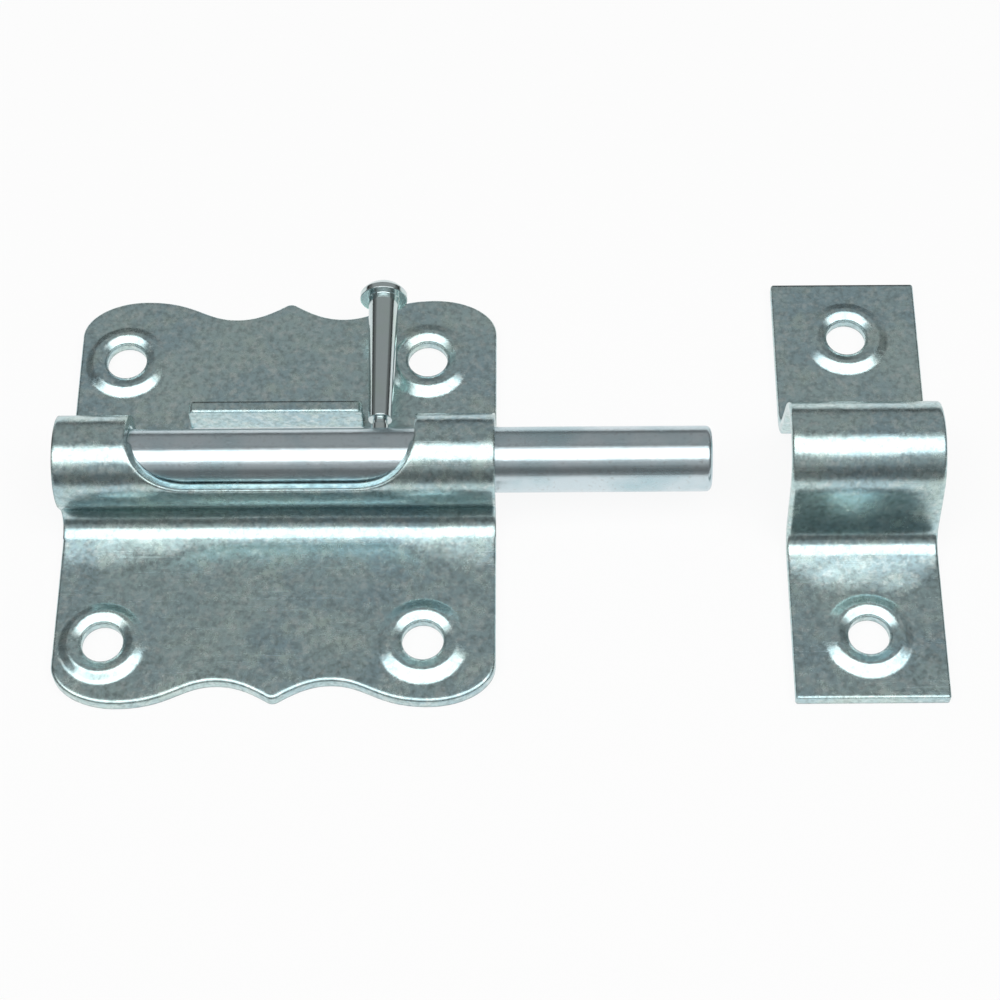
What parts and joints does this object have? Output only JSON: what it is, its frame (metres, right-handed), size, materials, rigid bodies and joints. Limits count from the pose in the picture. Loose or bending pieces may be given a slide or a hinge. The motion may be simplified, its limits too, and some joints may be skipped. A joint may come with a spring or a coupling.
{
  "type": "surface bolt",
  "caption": "Surface bolt: pressed scalloped plate with a rolled barrel, a sliding round rod with a turning pin handle that drops behind a lip, and a separate arched keeper.",
  "frame": {"origin": "centre of the base plate's screw pattern, on the face that lies on the door", "axes": "+X along the rod towards the keeper, +Y towards the side where the handle lies, +Z out of the door"},
  "size_m": [0.1066, 0.0587, 0.0147],
  "materials": {
    "zinc_sheet": "bright zinc plate, mottled",
    "zinc_rod": "bright zinc plate on drawn bar",
    "zinc_pin": "bright zinc plate on a turned pin"
  },
  "bodies": {
    "housing": {"base_plate": "zinc_sheet", "keeper": "zinc_sheet"},
    "rod": {"bolt_rod": "zinc_rod"},
    "handle": {"handle_pin": "zinc_pin"}
  },
  "joints": [
    {"name": "rod_slide", "type": "slide", "parent": "housing", "child": "rod", "axis": [1, 0, 0], "range_m": [-0.027, 0]},
    {"name": "handle_turn", "type": "hinge", "parent": "rod", "child": "handle", "pos_m": [0.0141, 0.0016, 0.0075], "axis": [1, 0, 0], "range_deg": [-6.8, 85]}
  ]
}
